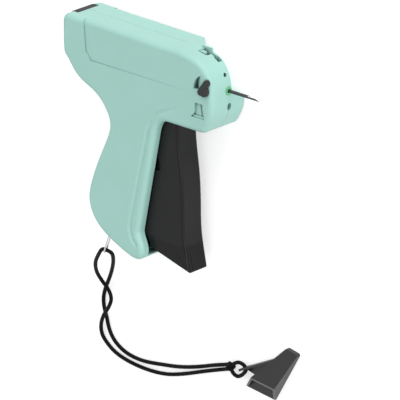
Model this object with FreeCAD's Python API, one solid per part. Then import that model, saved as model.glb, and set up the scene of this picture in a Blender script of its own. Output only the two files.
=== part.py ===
import FreeCAD, Part
import math
import os

# Garment tag attacher, lying on its left side.
# Gun frame, used for all modelling: x forward along the needle, y towards the top
# of the body, z out of the right-hand side, with the needle axis at y = 0, z = 0
# and x = 0 at the nose. The last loop moves every solid by SHIFT to the row frame,
# whose z is measured from the surface that the gun lies on.

V = FreeCAD.Vector

# ---- driving dimensions, mm ---------------------------------------------------
THICK = 30.0            # overall thickness of the casing
WALL = 2.0              # casing wall
EDGE_ROUND = 3.0        # rounding of the casing's outer edges
BODY_BACK = 119.0       # rear face of the body behind the nose
BODY_TOP = 24.0         # top face above the needle axis
TOP_BACK_R = 5.0        # round corner between the top and rear faces
NOSE_TOP = 22.0         # top face at the start of the nose curve
NOSE_RUN = 27.0         # length of the nose curve
CHIN_DROP = 24.6        # underside of the body below the needle axis
GRIP_TOP_X = -45.0      # front edge of the grip, at its top
GRIP_TOP_Y = -35.0
GRIP_LOW_X = -58.0      # front edge of the grip, at its foot
GRIP_LOW_Y = -98.0
BUTT_Y = -117.4         # lowest point of the grip
BUTT_X = -62.0
SEAM_GAP = 0.05         # gap between the two shells

PANEL_DEPTH = 0.8       # recessed side panel, at its rear edge
PANEL_INSET = 17.0      # from the rear face
PANEL_FRONT = -17.0     # where it comes level with the side face
PANEL_FRONT_LEAN = 11.0
PANEL_LOW = -0.8
PANEL_SKEW = 3.0
RIM_GROOVE_R = 3.0      # groove beside the trigger channel
RIM_GROOVE_DEPTH = 0.55
RIM_INSET = 6.5
RIM_FADE = 14.0         # length over which its upper end comes out of the side face

NOSE_STEP_Z = -2.5      # left-hand end of the upper nose
NOSE_STEP_X = -29.5     # rear end of the upper nose
NOSE_OPEN_X = -20.3     # where the left shell stops above the needle, at the upper nose
NOSE_OPEN_LEAN = 0.96   # and how much further back it stops for each mm to the left
NOSE_STEP_Y = -1.5
NOSE_SLOPE_R = 13.5     # round top of the left shell beside the needle
CLIP_X0 = -19.5         # slot that the clip of fasteners is fed down, back and front
CLIP_X1 = -8.8
CLIP_HALF_T = 0.9
NOTCH_X1 = -12.6        # notch at the slot's top
NOTCH_Y = 16.4
NOTCH_Z = 5.0
TAB_SPACE = 2.9         # in front of the tab that stands in the notch
TAB_RISE = 4.4
RIDGE_IN = 1.2          # low wall along the notch's left side
RIDGE_TOP = 22.4
NICK_X0 = -10.2         # smaller notch in front of it
NICK_L = 3.8
NICK_Y = 15.4
NICK_HALF_W = 1.7

NEEDLE_REACH = 23.5     # needle tip in front of the nose
NEEDLE_R = 1.0
NEEDLE_BORE_R = 0.68
NEEDLE_TAIL = 9.0       # needle behind the nose
NEEDLE_ROOT_R = 1.3     # where the base holds it
NEEDLE_BEVEL = 11.0
NEEDLE_SLOT = 0.5
BASE_R = 2.5            # plastic base that holds the needle
BASE_LEN = 10.0
BASE_PROUD = 0.5
UPPER_HOLE = V(0, 9.5, 1.1)     # round hole in the front of the nose
UPPER_HOLE_R = 1.2
UPPER_HOLE_DEEP = 3.2
LOWER_HOLE = V(0, -9.8, -0.5)   # long hole below the needle
LOWER_HOLE_R = 1.5
LOWER_HOLE_REACH = 0.7          # from its middle to the middle of each round end
WINDOW_DEPTH = 1.4
WINDOW_SILL_DEPTH = 0.7
WINDOW_SLIT = 0.7

TRIGGER_W = 17.0        # trigger, outside
TRIGGER_WALL = 1.8
TRIGGER_FRONT = 2.2
TRIGGER_ROUND = 1.8
TRIGGER_DEPTH = 3.2     # how far the trigger's sides reach into the grip
TRIGGER_PIVOT = V(-37.0, -14.0, 0)
TRIGGER_SWING = 13.0    # degrees
TRIGGER_PIN_R = 2.0
TRIGGER_FOOT = -118.0   # lowest point of the trigger
TRIGGER_TOE_X = -23.6
TRIGGER_FLARE = 0.8     # how far each side turns in at the foot
TRIGGER_FLARE_H = 17.0
RIB_BEND = (-25.6, -108.0)  # point of the trigger's front edge beside its two low ribs
RIB_TOP = -105.8
RIB_END = -115.6
RIB_R = 0.45
RIBS_Z = (6.3, 4.0)
TRIGGER_RECESS = 1.2    # depth of the recess in each side
CHANNEL_GAP = 0.6       # between the trigger and the casing, each side
LIP_Y = -113.4          # top of the casing's lip below the channel
LIP_FALL = 3.0          # and how far the channel's floor falls in front of it

LINK_R = 49.2           # from the trigger's pivot to its cross pin
LINK_DIR = 230.0        # degrees, direction of that pin in mid travel
LINK_PIN_R = 1.8
LEVER_SHORT = 13.5      # from the lever's pivot to the cross pin
LEVER_PIN_R = 2.0
LEVER_T = 5.0
LEVER_HALF_W = 4.6

SLIDER_LEN = 20.0
SLIDER_H = 9.0
SLIDER_W = 12.0
SLIDER_FRONT = 3.0      # solid front wall of the slider, which holds the rod
SLIDER_PIN_R = 2.0
SLOT_GAP = 0.42         # slider pin in the lever's fork
ROD_R = 0.55
ROD_REST = -20.5        # front end of the rod at rest
RUN_GAP = 0.05          # shaft in a bore
RAIL_T = 1.6
RAIL_GAP = 0.35

WHEEL_X0 = -18.0        # feed wheel, along the needle axis
WHEEL_LEN = 8.0
WHEEL_Y = 9.5
WHEEL_Z = 5.3
WHEEL_TIP_R = 4.6
WHEEL_ROOT_R = 3.3
WHEEL_TEETH = 10
WHEEL_SHAFT_R = 1.2
PAWL_T = 0.4            # leaf that keeps the feed wheel from turning back
PAWL_W = 5.0
PAWL_LEN = 13.6
PAWL_GAP = 0.2

LOCK_X = -4.6           # needle lock knob, on the right-hand side
LOCK_Y = 2.8
LOCK_R = 3.4
LOCK_TAIL = 6.0         # from its pivot to the end of its tail, at an angle in degrees
LOCK_TAIL_DIR = 65.6
LOCK_ARM_R = 2.0
LOCK_HEEL = 2.6         # the other way from its pivot
LOCK_HEEL_DIR = 204.6
LOCK_SWEEP_R = 9.0      # hollow that its tail turns over
LOCK_SWEEP_LOW = 2.2
LOCK_SWEEP_DEPTH = 3.4  # at its rear edge
LOCK_SWEEP_END = -8.0   # where its floor comes up to the side face
LOCK_LIFT = 0.3         # of the knob above the side face
LOCK_PROUD = 2.2
LOCK_STEM_R = 2.2
LOCK_ROUND = 0.5

PLUG_INSET = 2.6        # black plug in the top face, from the rear face
PLUG_L = 5.2
PLUG_W = 18.0
PLUG_T = 3.0
FIT_GAP = 0.1

SCREW_R = 1.25
SCREW_HEAD_R = 2.5
SCREW_HEAD_T = 1.6
SCREW_LEN = 15.0
BOSS_R = 3.3
SCREWS = [V(9.0 - BODY_BACK, 14.5, 0), V(20.0 - BODY_BACK, -7.5, 0), V(-42.0, 14.5, 0), V(-17.5, -16.0, 0), V(-88.5, -97.0, 0)]

EYE_ROOT = V(-85.0, -108.0, 10.0)  # wire eye for the lanyard, at the grip's heel
EYE_DIR = V(-0.335, -0.942, 0)
EYE_OUT = 14.5
EYE_IN = 5.0
EYE_GAP = 4.0           # between the middles of its two legs
EYE_WIRE_R = 0.45
EYE_TURN = 20.0         # degrees, of the eye's plane about EYE_DIR
EYE_BOSS_R = 3.2

SPRING_R = 2.6          # return spring, behind the slider
SPRING_WIRE_R = 0.35
SPRING_TURNS = 11
SPRING_SEAT = 7.2       # length of the seat behind the spring, from the rear wall

CORD_R = 1.25           # lanyard cord
KNOT_R = 3.1
KNOT_AT = V(-8.5, -179.2, 0)
LOOP_R = 5.2            # the cord's small loop between the knot and the cap
CAP_T = 9.0             # needle cap on the lanyard's end
CAP_WALL = 1.2
CAP_LIP = 11.8          # how much longer its lower wall is than its upper one
CAP_ROUND = 1.2
CAP_NARROW_T = 2.6      # its thickness at its closed end
CAP_OUTLINE = [(34.9, -155.4), (44.2, -157.2), (25.1, -191.6), (2.2, -189.0)]
TAB_ROOT = V(27.6, -164.2, 0)
TAB_END = V(0.5, -178.2, 0)
TAB_H = 6.0
TAB_T = 1.4
TAB_HOLE = 3.4          # from the tab's end to its hole
TAB_HOLE_R = 1.5

# middle line of the cord, in the row frame, from the knot to the eye and back
CORD_ROUTE = [
    (39.9, -133.4, 2.4), (35.1, -135.4, 1.7), (26.5, -138.6, 1.3), (14.4, -143.2, 1.3),
    (-0.2, -149.1, 1.3), (-14.9, -153.7, 1.3), (-30.6, -155.0, 1.3), (-44.7, -154.1, 1.3),
    (-55.5, -151.7, 1.3), (-62.1, -148.0, 1.3), (-67.7, -143.0, 1.3), (-67.6, -135.9, 2.6),
    (-62.0, -126.7, 6.0), (-56.6, -119.8, 6.6), (-54.4, -113.7, 6.4), (-56.7, -108.4, 6.6),
    (-60.6, -103.0, 8.6), (-61.1, -95.7, 13.0), (-55.6, -86.1, 19.5), (-48.1, -77.6, 24.0),
    (-43.5, -72.2, 25.8), (-39.5, -73.6, 24.2), (-39.1, -75.9, 21.5), (-44.1, -84.1, 15.5),
    (-52.4, -94.9, 8.5), (-60.0, -104.7, 3.6), (-65.1, -112.4, 1.3), (-66.4, -118.3, 1.3),
    (-65.8, -124.1, 1.3), (-63.7, -129.4, 1.3), (-62.3, -135.5, 1.3), (-59.5, -141.3, 1.3),
    (-54.6, -145.8, 1.3), (-46.3, -149.4, 1.3), (-33.9, -150.4, 1.3), (-19.0, -148.2, 1.3),
    (-3.5, -145.5, 1.3), (11.2, -141.1, 1.3), (24.1, -136.2, 1.3), (33.9, -132.9, 1.7),
    (39.4, -130.8, 2.5),
]

HALF_T = THICK / 2
# the row frame's origin is under the middle of the gun without its lanyard
MID_X = (NEEDLE_REACH - BODY_BACK) / 2
MID_Y = (BODY_TOP + TRIGGER_FOOT) / 2
SHIFT = V(-MID_X, -MID_Y, HALF_T)


# ---- helpers ------------------------------------------------------------------
def flat(points):
    return [V(p[0], p[1], 0) for p in points]


def polygon(points):
    pts = flat(points)
    return Part.Face(Part.makePolygon(pts + [pts[0]]))


def prism(points, z0, z1):
    face = polygon(points)
    face.translate(V(0, 0, z0))
    return face.extrude(V(0, 0, z1 - z0))


def slab(face, z0, z1):
    moved = face.copy()
    moved.translate(V(0, 0, z0))
    return moved.extrude(V(0, 0, z1 - z0))


def peg(x, y, z0, z1, r):
    return Part.makeCylinder(r, z1 - z0, V(x, y, z0), V(0, 0, 1))


def rod_x(x0, x1, y, z, r):
    return Part.makeCylinder(r, x1 - x0, V(x0, y, z), V(1, 0, 0))


def block(x0, x1, y0, y1, z0, z1):
    return Part.makeBox(x1 - x0, y1 - y0, z1 - z0, V(x0, y0, z0))


def fuse(solids):
    joined = solids[0]
    for s in solids[1:]:
        joined = joined.fuse(s)
    return joined.removeSplitter()


def polar(centre, radius, degrees):
    a = math.radians(degrees)
    return V(centre.x + radius * math.cos(a), centre.y + radius * math.sin(a), 0)


def turned(shape, centre, degrees):
    copy = shape.copy()
    copy.rotate(centre, V(0, 0, 1), degrees)
    return copy


def rounded(shape, radius, *heights):
    """Fillets the edges whose middles are at one of the heights."""
    edges = [e for e in shape.Edges if min(abs(e.CenterOfMass.z - z) for z in heights) < 0.01]
    return shape.makeFillet(radius, edges)


# ---- casing -------------------------------------------------------------------
def spline(points, start=None, end=None):
    curve = Part.BSplineCurve()
    if start is None:
        curve.interpolate(Points=flat(points))
    else:
        curve.interpolate(Points=flat(points), InitialTangent=start, FinalTangent=end)
    return curve.toShape()


def casing_outline():
    """Edges of the casing's side outline, from the top face round the nose, grip and back."""
    top_back = (-BODY_BACK + TOP_BACK_R, BODY_TOP)
    top_front = (-NOSE_RUN, NOSE_TOP)
    nose = [
        top_front,
        (-16.0, NOSE_TOP - 1.4),
        (-8.0, 17.6),
        (-2.6, 11.5),
        (0.0, 3.0),
        (0.4, -5.0),
        (-0.6, -14.0),
        (-4.2, -21.6),
        (-12.0, -CHIN_DROP),
    ]
    under_end = (GRIP_TOP_X + 10.0, -CHIN_DROP)
    grip_top = (GRIP_TOP_X, GRIP_TOP_Y)
    grip_low = (GRIP_LOW_X, GRIP_LOW_Y)
    toe = (BUTT_X + 7.0, BUTT_Y + 6.2)
    back = [
        (BUTT_X, BUTT_Y),
        (-70.0, -115.2),
        (-84.0, -108.8),
        (-95.0, -99.6),
        (-99.2, -87.0),
        (-97.2, -77.0),
        (-90.5, -60.0),
        (-83.6, -45.0),
        (-81.6, -37.0),
        (-84.6, -29.0),
        (-93.5, -20.4),
        (-BODY_BACK + 10.5, -12.4),
        (-BODY_BACK + 3.0, -3.6),
        (-BODY_BACK, 8.0),
    ]
    back_top = (-BODY_BACK, BODY_TOP - TOP_BACK_R)
    down = V(GRIP_LOW_X - GRIP_TOP_X, GRIP_LOW_Y - GRIP_TOP_Y, 0).normalize()
    lead = V(NOSE_RUN - 5.0 + BODY_BACK - 2 * NOSE_RUN, NOSE_TOP - BODY_TOP, 0)
    corner = (-BODY_BACK + 0.3 * TOP_BACK_R, BODY_TOP - 0.3 * TOP_BACK_R)
    return [
        Part.LineSegment(*flat([top_back, top_front])).toShape(),
        spline(nose, lead.normalize(), V(-1, 0, 0)),
        Part.LineSegment(*flat([nose[-1], under_end])).toShape(),
        spline([under_end, grip_top], V(-1, 0, 0) * 1.0, down),
        Part.LineSegment(*flat([grip_top, grip_low])).toShape(),
        spline([grip_low, toe], down, V(0, -1, 0)),
        spline([toe, (BUTT_X, BUTT_Y)], V(0, -1, 0), V(-1, 0.1, 0)),
        spline(back, V(-1, 0.1, 0), V(0, 1, 0)),
        Part.LineSegment(*flat([back[-1], back_top])).toShape(),
        Part.Arc(*flat([back_top, corner, top_back])).toShape(),
    ]


def inward(tangent):
    """The direction into the casing, from an edge of its outline that runs clockwise."""
    return V(tangent.y, -tangent.x, 0).normalize()


def inset_outline(edges, distance):
    """The outline moved inwards, each curve drawn again through moved points."""
    joints = []
    for before, after in zip(edges[-1:] + edges[:-1], edges):
        way = inward(before.tangentAt(before.LastParameter))
        way += inward(after.tangentAt(after.FirstParameter))
        joints.append(after.valueAt(after.FirstParameter) + way.normalize() * distance)
    moved = []
    for edge, start, end in zip(edges, joints, joints[1:] + joints[:1]):
        if isinstance(edge.Curve, Part.Line):
            moved.append(Part.LineSegment(start, end).toShape())
            continue
        first, last = edge.FirstParameter, edge.LastParameter
        count = max(4, int(edge.Length / WALL))
        params = [first + (last - first) * k / count for k in range(1, count)]
        middles = [edge.valueAt(p) + inward(edge.tangentAt(p)) * distance for p in params]
        moved.append(spline([start] + middles + [end], edge.tangentAt(first), edge.tangentAt(last)))
    return Part.Wire(moved)


OUTLINE = casing_outline()
OUTER_FACE = Part.Face(Part.Wire(OUTLINE))
INNER_FACE = Part.Face(inset_outline(OUTLINE, WALL))
CHANNEL_HALF = TRIGGER_W / 2 + CHANNEL_GAP


def grip_front(y):
    """The x of the grip's straight front edge at height y."""
    slope = (GRIP_LOW_X - GRIP_TOP_X) / (GRIP_LOW_Y - GRIP_TOP_Y)
    return GRIP_TOP_X + slope * (y - GRIP_TOP_Y)


def channel_cut():
    """The opening that the trigger moves in: grip front and body underside."""
    roof = -CHIN_DROP + WALL + 1.0
    points = [
        (TRIGGER_PIVOT.x + 9.5, roof),
        (TRIGGER_PIVOT.x + 9.5, -60.0),
        (grip_front(LIP_Y) + 20.0, LIP_Y - LIP_FALL),
        (grip_front(LIP_Y) - 2 * WALL, LIP_Y),
        (grip_front(roof) - 2 * WALL, roof),
    ]
    return prism(points, -CHANNEL_HALF, CHANNEL_HALF)


def rim_groove(side):
    """A soft groove along the grip's front edge, on one side face."""
    turn_in = V(GRIP_TOP_X + 8.0, -CHIN_DROP + RIM_INSET, 0)
    mid = V(GRIP_TOP_X - RIM_INSET + 3.2, GRIP_TOP_Y + 6.3, 0)
    turn_out = V(GRIP_TOP_X - RIM_INSET, GRIP_TOP_Y - 4.0, 0)
    low = V(GRIP_LOW_X - RIM_INSET, GRIP_LOW_Y + 4.0, 0)
    end = V(GRIP_LOW_X - RIM_INSET + 5.0, BUTT_Y + 9.0, 0)
    bend = V(GRIP_LOW_X - RIM_INSET + 1.0, GRIP_LOW_Y - 5.6, 0)
    edges = [
        Part.Arc(turn_in, mid, turn_out).toShape(),
        Part.LineSegment(turn_out, low).toShape(),
        Part.Arc(low, bend, end).toShape(),
    ]
    path = Part.Wire(edges)
    lift = V(0, 0, side * (HALF_T + RIM_GROOVE_R - RIM_GROOVE_DEPTH))
    path.translate(lift)
    run = edges[0].tangentAt(edges[0].FirstParameter)
    ring = Part.Wire([Part.Circle(turn_in + lift, run, RIM_GROOVE_R).toShape()])
    groove = path.makePipeShell([ring], True, True)
    rise = V(run) * -RIM_FADE + V(0, 0, side * RIM_GROOVE_DEPTH)
    fade = Part.makeCylinder(RIM_GROOVE_R, rise.Length, turn_in + lift, rise)
    return [groove, fade, Part.makeSphere(RIM_GROOVE_R, turn_in + lift)]


def rounded_half(side):
    """Outer form of one half of the casing, from its middle to its side face."""
    face_z = side * HALF_T
    return rounded(slab(OUTER_FACE, *sorted([0.0, face_z])), EDGE_ROUND, face_z)


def panel_cut(side):
    """The recessed panel in the upper half of a side face: deep at its rear, level in front."""
    back = -BODY_BACK + PANEL_INSET
    points = [
        (back, BODY_TOP + 5.0),
        (back + PANEL_SKEW * 0.7, PANEL_LOW + 5.0),
        (back + PANEL_SKEW * 0.7 + 4.0, PANEL_LOW),
        (PANEL_FRONT, PANEL_LOW),
        (PANEL_FRONT - PANEL_FRONT_LEAN, BODY_TOP + 5.0),
    ]
    z0, z1 = sorted([side * (HALF_T - EDGE_ROUND - 2 * WALL), side * (HALF_T + 5.0)])
    top_run = V(-NOSE_RUN + BODY_BACK - TOP_BACK_R, NOSE_TOP - BODY_TOP, 0)
    lean = math.degrees(math.atan2(PANEL_DEPTH, PANEL_FRONT - back))
    sunk = rounded_half(side)
    sunk.rotate(V(PANEL_FRONT + 1.0, 0, side * HALF_T), V(-top_run.y, top_run.x, 0), -side * lean)
    return prism(points, z0, z1).cut(sunk)


def nose_region(z0, z1):
    """The upper nose, which belongs to the right shell as far as its left end."""
    return block(NOSE_STEP_X, 10.0, NOSE_STEP_Y, BODY_TOP + 5.0, z0, z1)


def screw_holes(shell, side):
    for s in SCREWS:
        inner = HALF_T - WALL
        if side > 0:
            shell = shell.fuse(peg(s.x, s.y, SEAM_GAP, inner + 0.5, BOSS_R))
            shell = shell.cut(peg(s.x, s.y, -1.0, SCREW_LEN - HALF_T + WALL + 8.0, SCREW_R + 0.02))
        else:
            shell = shell.fuse(peg(s.x, s.y, -inner - 0.5, -SEAM_GAP, BOSS_R))
            shell = shell.cut(peg(s.x, s.y, -HALF_T - 1.0, 1.0, SCREW_R + 0.15))
            shell = shell.cut(peg(s.x, s.y, -HALF_T - 1.0, -HALF_T + SCREW_HEAD_T + 1.4, SCREW_HEAD_R + 0.2))
    return shell


def shell_base(side):
    z_in = side * SEAM_GAP
    outer = rounded_half(side).cut(panel_cut(side))
    for part in rim_groove(side):
        outer = outer.cut(part)
    cavity = slab(INNER_FACE, *sorted([-side, side * (HALF_T - WALL)]))
    shell = outer.cut(cavity)
    shell = shell.cut(block(-BODY_BACK - 5, 20, -150, 50, *sorted([-side * 5, z_in])))
    return shell


def pin_boss(shell, centre, radius, side, reach):
    """A boss from the side wall in to reach, with a blind bore for a pin's end."""
    inner = HALF_T - WALL
    z0, z1 = sorted([side * reach, side * (inner + 0.5)])
    shell = shell.fuse(peg(centre.x, centre.y, z0, z1, radius + 1.8))
    z0, z1 = sorted([side * (reach - 1.0), side * (inner - 0.5)])
    return shell.cut(peg(centre.x, centre.y, z0, z1, radius + RUN_GAP))


PIN_REACH = CHANNEL_HALF + 0.6
LEVER_PIVOT = polar(TRIGGER_PIVOT, LINK_R - LEVER_SHORT, LINK_DIR)
# the lever's swing for the trigger's swing, and the slider's stroke for that
HALF_SQUEEZE = math.radians(TRIGGER_SWING / 2)
HALF_LEAN = math.atan2(
    LINK_R * math.sin(HALF_SQUEEZE), LINK_R * math.cos(HALF_SQUEEZE) - LINK_R + LEVER_SHORT
)
LEVER_SWING = 2 * math.degrees(HALF_LEAN)
SLIDER_STROKE = -2 * LEVER_PIVOT.y * math.tan(HALF_LEAN) - SLOT_GAP
SLIDER_REST = LEVER_PIVOT.x - SLIDER_STROKE / 2
SLIDER_BACK = SLIDER_REST - SLIDER_LEN / 2
RAIL_END_X = SLIDER_BACK - 2.0
SPRING_X0 = -BODY_BACK + WALL + SPRING_SEAT
RAIL_FRONT_X = SLIDER_REST + SLIDER_LEN / 2 + SLIDER_STROKE + 1.0


def add_inside(shell, side):
    """Pin bosses, slider rails, spring post and plug pocket on one shell."""
    shell = pin_boss(shell, TRIGGER_PIVOT, TRIGGER_PIN_R, side, PIN_REACH)
    shell = pin_boss(shell, LEVER_PIVOT, LEVER_PIN_R, side, PIN_REACH)
    half_h = SLIDER_H / 2 + RAIL_GAP
    half_w = SLIDER_W / 2
    for y0, y1 in ((half_h, half_h + RAIL_T), (-half_h - RAIL_T, -half_h)):
        z0, z1 = sorted([side * (half_w - 2.0), side * (HALF_T - WALL + 0.5)])
        shell = shell.fuse(block(RAIL_END_X, RAIL_FRONT_X, y0, y1, z0, z1))
    seat = rod_x(-BODY_BACK + WALL, SPRING_X0 - 0.1, 0, 0, SPRING_R + SPRING_WIRE_R)
    shell = shell.fuse(seat.common(block(-BODY_BACK, 0, -9, 9, *sorted([side * SEAM_GAP, side * 9]))))
    plug_x0 = -BODY_BACK + PLUG_INSET
    plug = block(plug_x0, plug_x0 + PLUG_L, BODY_TOP - PLUG_T, BODY_TOP + 1, -PLUG_W / 2, PLUG_W / 2)
    return shell.cut(plug)


def nose_cuts(shell):
    """The holes in the front of the nose."""
    deep = 6.0
    shell = shell.cut(rod_x(-NEEDLE_TAIL - 3.0, 5.0, 0, 0, BASE_R + 0.15))
    shell = shell.cut(rod_x(-UPPER_HOLE_DEEP, 5.0, UPPER_HOLE.y, UPPER_HOLE.z, UPPER_HOLE_R))
    y0, y1 = LOWER_HOLE.y - LOWER_HOLE_REACH, LOWER_HOLE.y + LOWER_HOLE_REACH
    z0, z1 = LOWER_HOLE.z - LOWER_HOLE_R, LOWER_HOLE.z + LOWER_HOLE_R
    shell = shell.cut(rod_x(-deep, 5.0, y0, LOWER_HOLE.z, LOWER_HOLE_R))
    shell = shell.cut(rod_x(-deep, 5.0, y1, LOWER_HOLE.z, LOWER_HOLE_R))
    return shell.cut(block(-deep, 5.0, y0, y1, z0, z1))


def open_side(wall):
    """What is open left of the upper nose: above a round bar and in front of a slanted
    end, both moved by the thickness of a wall."""
    low = NOSE_STEP_Y - NOSE_SLOPE_R
    left = -HALF_T - 1.0
    back = NOSE_OPEN_X - wall * math.hypot(1.0, NOSE_OPEN_LEAN)
    far = back - NOSE_OPEN_LEAN * (NOSE_STEP_Z - left)
    corners = [(back, NOSE_STEP_Z), (10.0, NOSE_STEP_Z), (10.0, left), (far, left)]
    face = Part.Face(Part.makePolygon([V(x, low, z) for x, z in corners + corners[:1]]))
    space = face.extrude(V(0, BODY_TOP + 5.0 - low, 0))
    return space.cut(rod_x(far - 1.0, 10.0, low, NOSE_STEP_Z, NOSE_SLOPE_R - wall))


def window():
    """A shallow trapezoid recess beside the nose, with a slit and a raised sill."""
    z1 = HALF_T + 1.0
    recess = prism(
        [(-12.6, -6.2), (-6.4, -6.2), (-5.2, -15.4), (-15.8, -15.4), (-13.2, -13.0)],
        HALF_T - WINDOW_DEPTH, z1,
    )
    sill = prism([(-17.0, -14.0), (-4.0, -14.0), (-4.0, -16.0), (-17.0, -16.0)], 0, HALF_T - WINDOW_SILL_DEPTH)
    slit = prism(
        [(-9.6, -6.2), (-9.6 + WINDOW_SLIT, -6.2), (-8.2 + WINDOW_SLIT, -14.0), (-8.2, -14.0)],
        HALF_T - WALL - 1.0, z1,
    )
    return recess.cut(sill).fuse(slit)


def clip_slot():
    """The slot down which a clip of fasteners is fed, and the notches at its top."""
    slot = block(CLIP_X0, CLIP_X1, -NEEDLE_R, BODY_TOP + 5, -CLIP_HALF_T, CLIP_HALF_T)
    notch = block(CLIP_X0, NOTCH_X1, NOTCH_Y, BODY_TOP + 5, -RIDGE_IN, NOTCH_Z)
    notch = notch.makeFillet(1.6, [e for e in notch.Edges if abs(e.CenterOfMass.x - NOTCH_X1) < 0.01
                                   and abs(e.CenterOfMass.z - NOTCH_Z) < 0.01])
    tab = block(CLIP_X0 - 1.0, NOTCH_X1 - TAB_SPACE, NOTCH_Y - 1.0, NOTCH_Y + TAB_RISE, CLIP_HALF_T + 0.3, NOTCH_Z - 0.9)
    nick = block(NICK_X0, NICK_X0 + NICK_L, NICK_Y, BODY_TOP + 5, -NICK_HALF_W, NICK_HALF_W)
    return fuse([slot, notch.cut(tab), nick])


def ridge():
    """A low wall along the left end of the upper nose, beside the clip slot."""
    return block(CLIP_X0 - 2.0, NOTCH_X1 - 1.4, BODY_TOP - 6.0, RIDGE_TOP, NOSE_STEP_Z, -RIDGE_IN)


def lock_hollow():
    """The hollow behind the knob: deep at its rear edge, with a floor that slants up."""
    reach = LOCK_SWEEP_R + 1.0
    deep = LOCK_SWEEP_DEPTH * reach / (LOCK_SWEEP_END - LOCK_X + LOCK_SWEEP_R)
    disc = peg(LOCK_X, LOCK_Y, HALF_T - LOCK_SWEEP_DEPTH - 2.0, HALF_T + 1.0, LOCK_SWEEP_R)
    x1 = LOCK_SWEEP_END
    x0 = x1 - reach * 1.5
    low = HALF_T - deep * 1.5
    profile = [(x0, low), (x1, HALF_T), (x1, HALF_T + 2.0), (x0, HALF_T + 2.0)]
    y0 = LOCK_SWEEP_LOW
    face = Part.Face(Part.makePolygon([V(x, y0, z) for x, z in profile + profile[:1]]))
    return disc.common(face.extrude(V(0, 2 * LOCK_SWEEP_R, 0)))


def eye_legs(radius, start, end):
    """The two straight legs of the wire eye, between two distances from its root."""
    side = eye_side()
    legs = []
    for sign in (-1, 1):
        foot = EYE_ROOT + side * (sign * EYE_GAP / 2) + EYE_DIR * start
        legs.append(Part.makeCylinder(radius, end - start, foot, EYE_DIR))
    return fuse(legs)


def eye_side():
    """Direction from one leg of the eye to the other."""
    across = EYE_DIR.cross(V(0, 0, 1)).normalize()
    turn = math.radians(EYE_TURN)
    return V(0, 0, 1) * math.cos(turn) - across * math.sin(turn)


def pawl_place(extra):
    """The feed wheel's leaf as a block, or its pocket when extra is more than 0."""
    x_mid = WHEEL_X0 + WHEEL_LEN / 2
    z0 = WHEEL_Z + WHEEL_TIP_R + PAWL_GAP
    return block(
        x_mid - PAWL_W / 2 - extra, x_mid + PAWL_W / 2 + extra,
        WHEEL_Y - PAWL_LEN / 2 - extra, WHEEL_Y + PAWL_LEN / 2 + extra,
        z0 - extra, z0 + PAWL_T,
    )


def make_right_shell():
    shell = shell_base(1)
    upper = slab(OUTER_FACE, NOSE_STEP_Z, SEAM_GAP + 0.1)
    upper = upper.common(nose_region(NOSE_STEP_Z, SEAM_GAP + 0.1))
    shell = shell.fuse(upper)
    feed_x0 = CLIP_X0 - WALL
    for y0, z0 in ((-6.5, SEAM_GAP), (NOSE_STEP_Y, NOSE_STEP_Z + 0.1)):
        filling = slab(INNER_FACE, z0, HALF_T - WALL + 0.5)
        shell = shell.fuse(filling.common(block(feed_x0, 5, y0, 30, -20, 20)))
    shell = add_inside(shell, 1)
    shell = screw_holes(shell, 1)
    wheel_room = rod_x(WHEEL_X0 - 0.5, WHEEL_X0 + WHEEL_LEN + 0.5, WHEEL_Y, WHEEL_Z, WHEEL_TIP_R + 0.5)
    shell = shell.cut(wheel_room)
    shell = shell.cut(pawl_place(PAWL_GAP))
    shaft_hole = rod_x(WHEEL_X0 - 2.6, WHEEL_X0 + WHEEL_LEN + 2.6, WHEEL_Y, WHEEL_Z, WHEEL_SHAFT_R + 0.02)
    shell = shell.cut(shaft_hole)
    shell = shell.fuse(ridge())
    shell = shell.cut(clip_slot())
    shell = nose_cuts(shell)
    shell = shell.cut(rod_x(-40.0, 0.0, 0, 0, ROD_R + 0.3))
    shell = shell.cut(window())
    shell = shell.cut(lock_hollow())
    shell = shell.cut(peg(LOCK_X, LOCK_Y, BASE_R + 1.5, HALF_T + 1, LOCK_STEM_R + RUN_GAP))
    boss = Part.makeCylinder(EYE_BOSS_R, EYE_IN + WALL, EYE_ROOT - EYE_DIR * EYE_IN, EYE_DIR)
    shell = shell.fuse(boss.common(slab(OUTER_FACE, SEAM_GAP, HALF_T - WALL)))
    shell = shell.cut(eye_legs(EYE_WIRE_R + 0.02, -EYE_IN - 1.0, WALL + 1.0))
    return shell.cut(channel_cut())


def make_left_shell():
    shell = shell_base(-1)
    shell = add_inside(shell, -1)
    shell = screw_holes(shell, -1)
    opening = open_side(0.0)
    shell = shell.cut(nose_region(NOSE_STEP_Z, 1.0)).cut(opening)
    outer = rounded_half(-1)
    ledge = block(NOSE_STEP_X - WALL, 10.0, NOSE_STEP_Y - WALL, NOSE_STEP_Y, NOSE_STEP_Z, -SEAM_GAP)
    riser = block(NOSE_STEP_X - WALL, NOSE_STEP_X, NOSE_STEP_Y, BODY_TOP, NOSE_STEP_Z - WALL, -SEAM_GAP)
    riser = riser.cut(rod_x(NOSE_STEP_X - 5, NOSE_STEP_X + 5, 0, 0, 3.0))
    for wall in (ledge, open_side(WALL).cut(opening), riser):
        shell = shell.fuse(outer.common(wall))
    shell = nose_cuts(shell)
    return shell.cut(channel_cut())


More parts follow.
